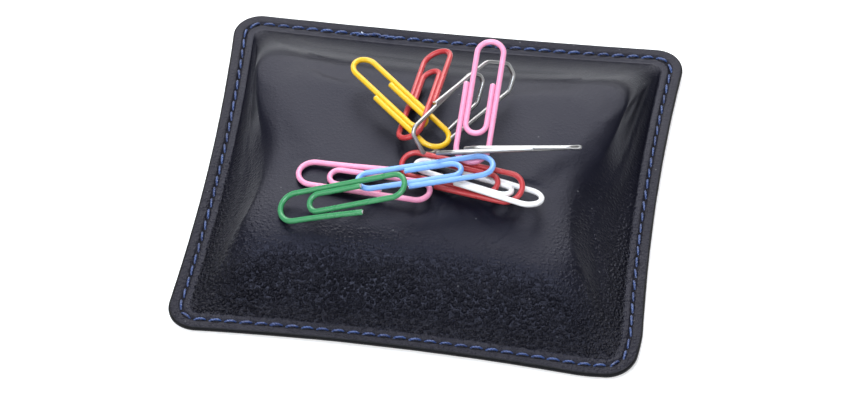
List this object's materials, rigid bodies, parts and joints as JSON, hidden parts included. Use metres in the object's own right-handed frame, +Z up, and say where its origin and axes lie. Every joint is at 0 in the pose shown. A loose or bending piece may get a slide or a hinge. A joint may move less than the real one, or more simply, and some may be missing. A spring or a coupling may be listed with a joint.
{
  "type": "magnetic paper clip holder",
  "caption": "Stitched leather pad, swollen over a foam core and drawn in along its sides, with hidden disc magnets that hold a pile of loose paper clips on its flat top.",
  "frame": {"origin": "middle of the flat underside, on the table", "axes": "+Z up out of the flat top, +X to the right and -Y towards the reader; the long free clips lie towards the front"},
  "size_m": [0.0936, 0.0902, 0.0249],
  "materials": {
    "leather": "very dark navy leather, semi-gloss, with fine pebble grain on the slopes and a smoother top",
    "thread": "waxed blue polyester thread",
    "foam": "grey closed-cell foam",
    "board": "matte greyboard",
    "keeper": "thin cold-rolled steel sheet",
    "magnet": "sintered ferrite, matte dark grey",
    "pink_coat": "pink vinyl coat on steel wire",
    "white_coat": "white vinyl coat on steel wire",
    "red_coat": "red vinyl coat on steel wire",
    "yellow_coat": "yellow vinyl coat on steel wire",
    "blue_coat": "light blue vinyl coat on steel wire",
    "green_coat": "green vinyl coat on steel wire",
    "bare_steel": "bright galvanised steel wire"
  },
  "bodies": {
    "pad": {"base_cover": "leather", "bobbin_thread": "thread", "base_board": "board", "keeper_plate": "keeper", "foam_core": "foam", "top_cover": "leather", "needle_thread": "thread", "magnet_front_left": "magnet", "magnet_front_right": "magnet", "magnet_back_left": "magnet", "magnet_back_right": "magnet"},
    "pink_clip": {"clip_pink_flat": "pink_coat"},
    "front_hooked_pair": {"clip_white": "white_coat", "clip_red_flat": "red_coat"},
    "back_hooked_pair": {"clip_red_upper": "red_coat", "clip_yellow": "yellow_coat"},
    "tall_silver_clip": {"clip_silver_tall": "bare_steel"},
    "standing_pink_clip": {"clip_pink_standing": "pink_coat"},
    "blue_clip": {"clip_blue": "blue_coat"},
    "green_clip": {"clip_green": "green_coat"},
    "silver_clip_on_edge": {"clip_silver_on_edge": "bare_steel"}
  },
  "joints": [
    {"name": "pink_clip_lift", "type": "slide", "parent": "pad", "child": "pink_clip", "axis": [0, 0, 1], "range_m": [0, 0.03]},
    {"name": "front_pair_lift", "type": "slide", "parent": "pink_clip", "child": "front_hooked_pair", "axis": [0, 0, 1], "range_m": [0, 0.03]},
    {"name": "back_pair_lift", "type": "slide", "parent": "front_hooked_pair", "child": "back_hooked_pair", "axis": [0, 0, 1], "range_m": [0, 0.03]},
    {"name": "tall_silver_lift", "type": "slide", "parent": "back_hooked_pair", "child": "tall_silver_clip", "axis": [0, 0, 1], "range_m": [0, 0.03]},
    {"name": "standing_pink_lift", "type": "slide", "parent": "tall_silver_clip", "child": "standing_pink_clip", "axis": [0, 0, 1], "range_m": [0, 0.03]},
    {"name": "blue_clip_lift", "type": "slide", "parent": "standing_pink_clip", "child": "blue_clip", "axis": [0, 0, 1], "range_m": [0, 0.03]},
    {"name": "green_clip_lift", "type": "slide", "parent": "blue_clip", "child": "green_clip", "axis": [0, 0, 1], "range_m": [0, 0.03]},
    {"name": "silver_on_edge_lift", "type": "slide", "parent": "blue_clip", "child": "silver_clip_on_edge", "axis": [0, 0, 1], "range_m": [0, 0.03]}
  ]
}
